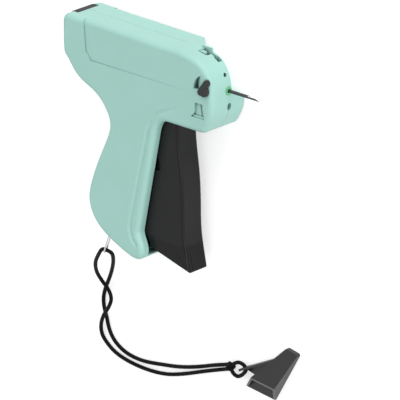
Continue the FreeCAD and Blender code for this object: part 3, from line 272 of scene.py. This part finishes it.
def noise(tree, vector, size, detail=2.0, roughness=0.5):
    """Noise whose patches have about the given size, in metres."""
    node = tree.nodes.new("ShaderNodeTexNoise")
    node.inputs["Scale"].default_value = 1.0 / size
    node.inputs["Detail"].default_value = detail
    node.inputs["Roughness"].default_value = roughness
    tree.links.new(vector, node.inputs["Vector"])
    return node.outputs["Fac"]


def ranged(tree, value, low, high, from_low=NOISE_LOW, from_high=NOISE_HIGH):
    """The value, brought from one range to another and kept inside it."""
    node = tree.nodes.new("ShaderNodeMapRange")
    node.inputs["From Min"].default_value = from_low
    node.inputs["From Max"].default_value = from_high
    node.inputs["To Min"].default_value = low
    node.inputs["To Max"].default_value = high
    tree.links.new(value, node.inputs["Value"])
    return node.outputs["Result"]


def mixed(tree, kind, factor, first, second):
    """The first of two sockets or plain values where the factor is 0, and the second at 1."""
    node = tree.nodes.new("ShaderNodeMix")
    node.data_type = kind
    tree.links.new(factor, node.inputs["Factor"])
    for name, value in (("A", first), ("B", second)):
        if isinstance(value, bpy.types.NodeSocket):
            tree.links.new(value, node.inputs[name])
        else:
            node.inputs[name].default_value = value
    return node.outputs["Result"]


def bump(tree, height, distance, under=None):
    """A normal raised by the height, in metres, on top of another normal if one is given."""
    node = tree.nodes.new("ShaderNodeBump")
    node.inputs["Distance"].default_value = distance
    tree.links.new(height, node.inputs["Height"])
    if under is not None:
        tree.links.new(under, node.inputs["Normal"])
    return node.outputs["Normal"]


def shade_crevices(tree, colour, dark):
    """The colour with painted shade: darker in holes, notches and corners that see little open
    space.
    """
    open_sky = tree.nodes.new("ShaderNodeAmbientOcclusion")
    open_sky.inputs["Distance"].default_value = CREVICE_REACH
    open_sky.samples = CREVICE_SAMPLES
    openness = ranged(
        tree, open_sky.outputs["AO"], 0.0, 1.0, from_low=CREVICE_CLOSED, from_high=CREVICE_OPEN)
    return mixed(tree, "RGBA", openness, dark, colour)


def moulded_plastic(name, colour, roughness, grain,
                    specular=0.4, depth=0.06, cloud=0.03, crevice_shade=0.5):
    """Plastic with a fine moulded grain, faint flow clouds, painted shade in crevices and a few
    rub marks.

    The grain is the size of its patches in metres, and depth is their height as a share
    of it. Cloud is how far the clouds depart from the colour, and the crevice shade is
    what is left of the colour where shade is painted into crevices.
    """
    material, tree, shader = surface(name, roughness, specular)
    where = place(tree)
    clouds = noise(tree, where, CLOUD_SIZE)
    fine = noise(tree, where, grain, roughness=0.6)
    coarse = noise(tree, where, grain * COARSE_GRAIN)
    rubs = noise(tree, place(tree, RUB_SCALE), RUB_SIZE, detail=3.0, roughness=0.7)
    clouded = mixed(
        tree, "RGBA", ranged(tree, clouds, 0.0, 1.0),
        tint(colour, 1.0 - cloud), tint(colour, 1.0 + cloud))
    # painted shade: the clouded colour is darkened in crevices found by ambient occlusion
    tree.links.new(
        shade_crevices(tree, clouded, tint(colour, crevice_shade)), shader.inputs["Base Color"])
    level = ranged(
        tree, rubs, roughness + GLOSS_SPREAD, roughness - GLOSS_SPREAD,
        from_low=0.3, from_high=0.75)
    tree.links.new(level, shader.inputs["Roughness"])
    normal = bump(tree, coarse, grain * depth * 2.0)
    tree.links.new(bump(tree, fine, grain * depth, under=normal), shader.inputs["Normal"])
    return material


def worked_steel(name, colour, roughness, along=(1, 0, 0), line=0.0002):
    """Steel with fine lines along one axis, a given width apart in metres, and uneven polish."""
    material, tree, shader = surface(name, roughness, specular=0.5, metallic=1.0)
    scale = tuple(LINE_SCALE if a else 1.0 for a in along)
    lines = noise(tree, place(tree, scale), line, roughness=0.6)
    patches = noise(tree, place(tree), POLISH_SIZE, detail=3.0, roughness=0.6)
    patched = mixed(
        tree, "RGBA", ranged(tree, patches, 0.0, 1.0),
        tint(colour, POLISH_DARK), tint(colour, POLISH_BRIGHT))
    tree.links.new(patched, shader.inputs["Base Color"])
    tree.links.new(
        ranged(tree, lines, roughness - 0.08, roughness + 0.1), shader.inputs["Roughness"])
    tree.links.new(bump(tree, lines, line * LINE_DEPTH), shader.inputs["Normal"])
    return material


def braided_yarn(name, colour):
    """Matt nylon yarn with a fibre grain and a faint sheen."""
    material, tree, shader = surface(name, roughness=0.62, specular=0.10)
    shader.inputs["Sheen Weight"].default_value = 0.02
    shader.inputs["Sheen Roughness"].default_value = 0.45
    where = place(tree)
    fibres = noise(tree, where, FIBRE_SIZE, detail=3.0, roughness=0.7)
    wear = noise(tree, where, WEAR_SIZE)
    worn = mixed(
        tree, "RGBA", ranged(tree, wear, 0.0, 1.0),
        tint(colour, WEAR_DARK), tint(colour, WEAR_PALE))
    tree.links.new(worn, shader.inputs["Base Color"])
    tree.links.new(ranged(tree, fibres, 0.52, 0.74), shader.inputs["Roughness"])
    tree.links.new(bump(tree, fibres, FIBRE_DEPTH), shader.inputs["Normal"])
    return material


def finish_node(name, material):
    """Gives a node of the frame its finish."""
    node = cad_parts[name]
    if not node.material_slots:
        node.data.materials.append(material)
    for slot in node.material_slots:
        slot.link = "OBJECT"
        slot.material = material


# ---- mesh helpers ---------------------------------------------------------------
def mesh_object(name, vertices, faces, material, smooth=True):
    """A new piece from its points and faces, linked to the scene."""
    mesh = bpy.data.meshes.new(name)
    mesh.from_pydata([tuple(v) for v in vertices], [], faces)
    mesh.materials.append(material)
    if smooth:
        mesh.shade_smooth()
    mesh.update()
    piece = bpy.data.objects.new(name, mesh)
    bpy.context.scene.collection.objects.link(piece)
    return piece


def nurbs_points(points, closed=False):
    """Points along a smooth curve whose control points are given, in metres."""
    curve = bpy.data.curves.new("line", "CURVE")
    curve.dimensions = "3D"
    spline = curve.splines.new("NURBS")
    spline.points.add(len(points) - 1)
    for target, point in zip(spline.points, points):
        target.co = (*point, 1.0)
    spline.order_u = CURVE_ORDER
    spline.use_endpoint_u = not closed
    spline.use_cyclic_u = closed
    spline.resolution_u = CURVE_STEPS
    carrier = bpy.data.objects.new("line", curve)
    bpy.context.scene.collection.objects.link(carrier)
    bpy.context.view_layer.update()
    mesh = bpy.data.meshes.new_from_object(carrier)
    line = np.array([v.co for v in mesh.vertices], float)
    bpy.data.objects.remove(carrier)
    bpy.data.meshes.remove(mesh)
    bpy.data.curves.remove(curve)
    return line


def evenly(line, step, closed=False):
    """The line with its points a step apart, and its length."""
    if closed:
        line = np.vstack([line, line[:1]])
    gaps = np.linalg.norm(np.diff(line, axis=0), axis=1)
    along = np.concatenate([[0.0], np.cumsum(gaps)])
    count = max(8, int(round(along[-1] / step)))
    wanted = np.linspace(0.0, along[-1], count + 1)
    if closed:
        wanted = wanted[:-1]
    return np.stack([np.interp(wanted, along, line[:, k]) for k in range(3)], axis=1), along[-1]


def cross_frames(line, closed=False):
    """Two directions across the line at each point, turned as little as possible."""
    tangents = np.gradient(line, axis=0)
    if closed:
        tangents = np.roll(line, -1, axis=0) - np.roll(line, 1, axis=0)
    tangents /= np.linalg.norm(tangents, axis=1)[:, None]
    first = np.cross(tangents[0], (0.0, 0.0, 1.0))
    if np.linalg.norm(first) < 0.1:
        first = np.cross(tangents[0], (0.0, 1.0, 0.0))
    sides = []
    side = first / np.linalg.norm(first)
    for tangent in tangents:
        side = side - tangent * (side @ tangent)
        side = side / np.linalg.norm(side)
        sides.append(side)
    sides = np.array(sides)
    ups = np.cross(tangents, sides)
    if closed:
        drift = math.atan2(sides[-1] @ ups[0], sides[-1] @ sides[0])
        turn = -drift * np.arange(len(line)) / len(line)
        cosines, sines = np.cos(turn)[:, None], np.sin(turn)[:, None]
        sides, ups = sides * cosines + ups * sines, ups * cosines - sides * sines
    return sides, ups


def braid_height(angle, along, pitch, yarns):
    """Height of the yarns, 0 to 1, at an angle round the cord and a length along it."""
    one = yarns * (angle / (2 * np.pi) + along / pitch)
    other = yarns * (angle / (2 * np.pi) - along / pitch)
    over = (np.floor(one) + np.floor(other)) % 2 == 0
    ridge = np.where(over, one % 1.0, other % 1.0)
    crown = np.where(over, other % 1.0, one % 1.0)
    rounded = np.sqrt(np.clip(1.0 - (2 * ridge - 1) ** 2, 0, 1))
    return rounded * (1.0 - YARN_CROWN + YARN_CROWN * np.sin(np.pi * crown))


def braided_tube(name, line, settings, material, closed=False):
    """A braided cord along the line, and the centres of its rings."""
    centres, length = evenly(line, BRAID_STEP, closed)
    across, upward = cross_frames(centres, closed)
    radius = settings.cord_diameter / 2
    sides = BRAID_SIDES
    turns = 2 * np.pi * np.arange(sides) / sides
    pitch = settings.braid_pitch
    if closed:
        pitch = length / max(1, round(length / pitch))
    count = len(centres)
    spans = count if closed else count - 1
    steps = length * np.arange(count) / spans
    height = braid_height(turns[None, :], steps[:, None], pitch, settings.braid_yarns)
    reach = radius * (1.0 - BRAID_RELIEF + BRAID_RELIEF * height)
    rings = (centres[:, None, :] + across[:, None, :] * (reach * np.cos(turns))[..., None]
             + upward[:, None, :] * (reach * np.sin(turns))[..., None])
    vertices = rings.reshape(-1, 3)
    faces = []
    for ring in range(spans):
        here, there = ring * sides, (ring + 1) % count * sides
        for k in range(sides):
            after = (k + 1) % sides
            faces.append((here + k, here + after, there + after, there + k))
    if not closed:
        faces.append(tuple(range(sides))[::-1])
        faces.append(tuple(range((count - 1) * sides, count * sides)))
    return mesh_object(name, vertices, faces, material), centres


# ---- operators ------------------------------------------------------------------
class TAGGER_OT_stage(bpy.types.Operator):
    """Sets up the camera, the lamps, the room and the floor"""

    bl_idname = "tagger.stage"
    bl_label = "Stage"

    def execute(self, context):
        settings = context.scene.tagger_stage
        self.make_camera(context, settings)
        self.make_lamps(context, settings)
        self.make_room(context, settings)
        self.make_floor(settings)
        context.scene.view_settings.view_transform = "Standard"
        return {"FINISHED"}

    @staticmethod
    def make_camera(context, settings):
        lens = bpy.data.cameras.new("camera")
        lens.lens = settings.lens
        lens.sensor_width = CAMERA_SENSOR
        camera = bpy.data.objects.new("camera", lens)
        turn = Matrix((CAMERA_RIGHT, CAMERA_UP, CAMERA_BACK)).transposed().to_4x4()
        stand = CAMERA_TARGET + CAMERA_BACK * settings.distance
        camera.matrix_world = Matrix.Translation(stand) @ turn
        context.scene.collection.objects.link(camera)
        context.scene.camera = camera

    @staticmethod
    def make_lamps(context, settings):
        lamps = (
            ("front_lamp", settings.front_lamp, FRONT_LAMP_FROM),
            ("top_lamp", settings.top_lamp, TOP_LAMP_FROM),
        )
        for name, strength, source in lamps:
            light = bpy.data.lights.new(name, "SUN")
            light.energy = strength
            light.angle = LAMP_WIDTH
            lamp = bpy.data.objects.new(name, light)
            lamp.rotation_mode = "QUATERNION"
            lamp.rotation_quaternion = source.to_track_quat("Z", "Y")
            context.scene.collection.objects.link(lamp)

    @staticmethod
    def seen_directly(tree):
        """1 for camera, glossy and transmission rays, otherwise 0."""
        path = tree.nodes.new("ShaderNodeLightPath")
        total = path.outputs["Is Camera Ray"]
        for name in ("Is Glossy Ray", "Is Transmission Ray"):
            larger = tree.nodes.new("ShaderNodeMath")
            larger.operation = "MAXIMUM"
            tree.links.new(total, larger.inputs[0])
            tree.links.new(path.outputs[name], larger.inputs[1])
            total = larger.outputs[0]
        return total

    def make_room(self, context, settings):
        """Soft light from all round, and plain white where it is seen directly."""
        world = bpy.data.worlds.new("room")
        world.use_nodes = True
        tree = world.node_tree
        background = tree.nodes["Background"]
        background.inputs["Color"].default_value = WHITE
        strength = ranged(
            tree, self.seen_directly(tree), settings.room_light, 1.0, from_low=0.0, from_high=1.0)
        tree.links.new(strength, background.inputs["Strength"])
        context.scene.world = world

    def make_floor(self, settings):
        """A pale floor that is nearly white where it is seen, and keeps the shadow."""
        material, tree, shader = surface("pale_floor", roughness=0.9, specular=0.1)
        mottle = noise(tree, place(tree), 0.05, detail=3.0)
        colour = settings.floor_colour
        mottled = mixed(
            tree, "RGBA", ranged(tree, mottle, 0.0, 1.0), tint(colour, 0.995), tint(colour, 1.005))
        tree.links.new(mottled, shader.inputs["Base Color"])
        shader.inputs["Emission Color"].default_value = WHITE
        glow = ranged(
            tree, self.seen_directly(tree), 0.0, FLOOR_GLOW, from_low=0.0, from_high=1.0)
        tree.links.new(glow, shader.inputs["Emission Strength"])
        half = FLOOR_HALF
        corners = [(-half, -half, 0), (half, -half, 0), (half, half, 0), (-half, half, 0)]
        floor = mesh_object("floor", corners, [(0, 1, 2, 3)], material, smooth=False)


class TAGGER_OT_lanyard(bpy.types.Operator):
    """Makes the braided cord, its knot and its small loop, and finishes the eye and the cap"""

    bl_idname = "tagger.lanyard"
    bl_label = "Lanyard"

    def execute(self, context):
        settings = context.scene.tagger_lanyard
        yarn = braided_yarn("cord_yarn", settings.cord_colour)
        steel = context.scene.tagger_mechanism.steel_colour
        # the cap gets painted shade in its mouth and crevices
        cap = moulded_plastic(
            "cap_plastic", settings.cap_colour, roughness=0.36, grain=0.0004,
            specular=0.5, depth=0.05, cloud=0.05, crevice_shade=0.1)
        finish_node("needle_cap", cap)
        finish_node("lanyard_eye", worked_steel("eye_wire", steel, 0.25, along=(0, 1, 0)))
        knot = self.make_knot(settings, yarn)
        loop = self.make_loop(settings, yarn)
        ends = [knot, loop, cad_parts["needle_cap"]]
        self.make_strands(settings, yarn, ends)
        return {"FINISHED"}

    @staticmethod
    def make_strands(settings, yarn, ends):
        """The two halves of the cord, each from its middle in the wire eye to the knot."""
        route = [Vector(point) * MM for point in CORD_ROUTE]
        middle = (route[EYE_POINT] + route[EYE_POINT + 1]) / 2
        strands = {
            "cord_strand_left": [middle] + route[EYE_POINT::-1],
            "cord_strand_right": [middle] + route[EYE_POINT + 1:],
        }
        for name, points in strands.items():
            piece, path = braided_tube(name, nurbs_points(points), settings, yarn)
            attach(piece, "casing")
            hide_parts("lanyard_cord")

    @staticmethod
    def make_knot(settings, yarn):
        """A stopper knot: the cord wound round itself and tucked through."""
        run = (Vector(CORD_ROUTE[0]) - Vector(CORD_ROUTE[1])).normalized()
        side = run.cross(Vector((0, 0, 1))).normalized()
        turned = Matrix((run, side, side.cross(run))).transposed()
        points = []
        for k in range(KNOT_POINTS):
            t = 2 * math.pi * k / KNOT_POINTS
            along = -math.sin(3 * t)
            across = math.cos(t) - 2 * math.cos(2 * t)
            up = math.sin(t) + 2 * math.sin(2 * t)
            local = Vector((along * KNOT_ALONG, across * KNOT_ACROSS, up * KNOT_UP)) * MM
            points.append(KNOT_CENTRE + turned @ local)
        piece, _ = braided_tube("stopper_knot", nurbs_points(points, True), settings, yarn, True)
        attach(piece, "casing")
        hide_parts("cord_knot")
        return piece

    @staticmethod
    def make_loop(settings, yarn):
        """The small loop through the hole in the cap's tab."""
        points = [Vector(point) * MM for point in LOOP_ROUTE]
        piece, _ = braided_tube("cap_loop", nurbs_points(points, True), settings, yarn, True)
        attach(piece, "casing")
        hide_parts("cord_loop")
        return piece


class TAGGER_OT_casing(bpy.types.Operator):
    """Finishes the two shells, their screws and the plug in the top"""

    bl_idname = "tagger.casing"
    bl_label = "Casing"

    def execute(self, context):
        settings = context.scene.tagger_casing
        steel = context.scene.tagger_mechanism.steel_colour
        # the shell gets painted shade in its notches, window and holes
        shell = moulded_plastic(
            "shell_plastic", settings.shell_colour, roughness=0.44, grain=settings.grain,
            specular=0.4, depth=0.05, cloud=0.015, crevice_shade=0.14)
        finish_node("right_shell", shell)
        finish_node("left_shell", shell)
        plug = moulded_plastic(
            "plug_plastic", settings.plug_colour, roughness=0.5, grain=0.0005, specular=0.3)
        finish_node("rear_plug", plug)
        finish_node("shell_screws", worked_steel("screw_steel", steel, 0.32, along=(0, 0, 1)))
        return {"FINISHED"}


class TAGGER_OT_trigger(bpy.types.Operator):
    """Finishes the trigger"""

    bl_idname = "tagger.trigger"
    bl_label = "Trigger"

    def execute(self, context):
        settings = context.scene.tagger_trigger
        # the trigger gets painted shade in its crevices
        plastic = moulded_plastic(
            "trigger_plastic", settings.colour, roughness=0.36, grain=settings.grain,
            specular=0.21, depth=0.05, cloud=0.05, crevice_shade=0.2)
        self.polish_and_shade_foot(plastic)
        finish_node("trigger", plastic)
        return {"FINISHED"}

    @staticmethod
    def polish_and_shade_foot(material):
        """The foot is smoother than the rest, and a deeper black that is painted shade."""
        tree = material.node_tree
        shader = tree.nodes["Principled BSDF"]
        height = tree.nodes.new("ShaderNodeSeparateXYZ")
        tree.links.new(place(tree), height.inputs["Vector"])
        foot = ranged(
            tree, height.outputs["Y"], 1.0, 0.0,
            from_low=FOOT_POLISH_AND_SHADE_BELOW, from_high=FOOT_PLAIN_ABOVE)
        for name, kind, polish_and_shade in (
                ("Base Color", "RGBA", FOOT_SHADE_BLACK), ("Roughness", "FLOAT", FOOT_ROUGHNESS)):
            socket = shader.inputs[name]
            plain = socket.links[0].from_socket
            tree.links.new(mixed(tree, kind, foot, plain, polish_and_shade), socket)


class TAGGER_OT_needle(bpy.types.Operator):
    """Finishes the needle, its coloured base and its lock knob"""

    bl_idname = "tagger.needle"
    bl_label = "Needle"

    def execute(self, context):
        settings = context.scene.tagger_needle
        finish_node("needle", worked_steel("needle_steel", settings.steel_colour, 0.38))
        base = moulded_plastic(
            "base_plastic", settings.base_colour, roughness=0.35, grain=0.0004)
        finish_node("needle_base", base)
        knob = moulded_plastic(
            "knob_plastic", settings.knob_colour, roughness=0.38, grain=0.0003)
        finish_node("needle_lock", knob)
        return {"FINISHED"}


class TAGGER_OT_mechanism(bpy.types.Operator):
    """Finishes the lever, slider, feed wheel, pins, rod and springs"""

    bl_idname = "tagger.mechanism"
    bl_label = "Mechanism"

    def execute(self, context):
        settings = context.scene.tagger_mechanism
        nylon = moulded_plastic(
            "inner_nylon", settings.nylon_colour, roughness=0.4, grain=0.0004)
        for name in ("drive_lever", "slider", "feed_wheel"):
            finish_node(name, nylon)
        turned = worked_steel("pin_steel", settings.steel_colour, 0.28, along=(0, 0, 1))
        for name in ("trigger_pin", "lever_pin", "slider_pin", "link_pin"):
            finish_node(name, turned)
        drawn = worked_steel("drawn_wire", settings.steel_colour, 0.3)
        for name in ("push_rod", "feed_shaft", "return_spring", "feed_pawl"):
            finish_node(name, drawn)
        return {"FINISHED"}


STEPS = (
    TAGGER_OT_stage,
    TAGGER_OT_lanyard,
    TAGGER_OT_casing,
    TAGGER_OT_trigger,
    TAGGER_OT_needle,
    TAGGER_OT_mechanism,
)


class TAGGER_PT_steps(bpy.types.Panel):
    """Lists the pieces of the tag attacher that can be made"""

    bl_idname = "TAGGER_PT_steps"
    bl_label = "Tag attacher"
    bl_space_type = "VIEW_3D"
    bl_region_type = "UI"
    bl_category = "Tag attacher"

    def draw(self, context):
        for step in STEPS:
            self.layout.operator(step.bl_idname)
        for name in SETTINGS:
            group = getattr(context.scene, name)
            box = self.layout.box()
            for item in group.bl_rna.properties:
                if item.identifier not in ("rna_type", "name"):
                    box.prop(group, item.identifier)


SETTINGS = {
    "tagger_casing": CasingSettings,
    "tagger_trigger": TriggerSettings,
    "tagger_needle": NeedleSettings,
    "tagger_mechanism": MechanismSettings,
    "tagger_lanyard": LanyardSettings,
    "tagger_stage": StageSettings,
}


def register():
    for name, group in SETTINGS.items():
        bpy.utils.register_class(group)
        setattr(bpy.types.Scene, name, bpy.props.PointerProperty(type=group))
    for step in STEPS:
        bpy.utils.register_class(step)
    bpy.utils.register_class(TAGGER_PT_steps)


def unregister():
    bpy.utils.unregister_class(TAGGER_PT_steps)
    for step in reversed(STEPS):
        bpy.utils.unregister_class(step)
    for name, group in SETTINGS.items():
        delattr(bpy.types.Scene, name)
        bpy.utils.unregister_class(group)


def main():
    register()
    bpy.ops.tagger.stage()
    bpy.ops.tagger.lanyard()
    bpy.ops.tagger.casing()
    bpy.ops.tagger.trigger()
    bpy.ops.tagger.needle()
    bpy.ops.tagger.mechanism()


if __name__ == "__main__":
    main()
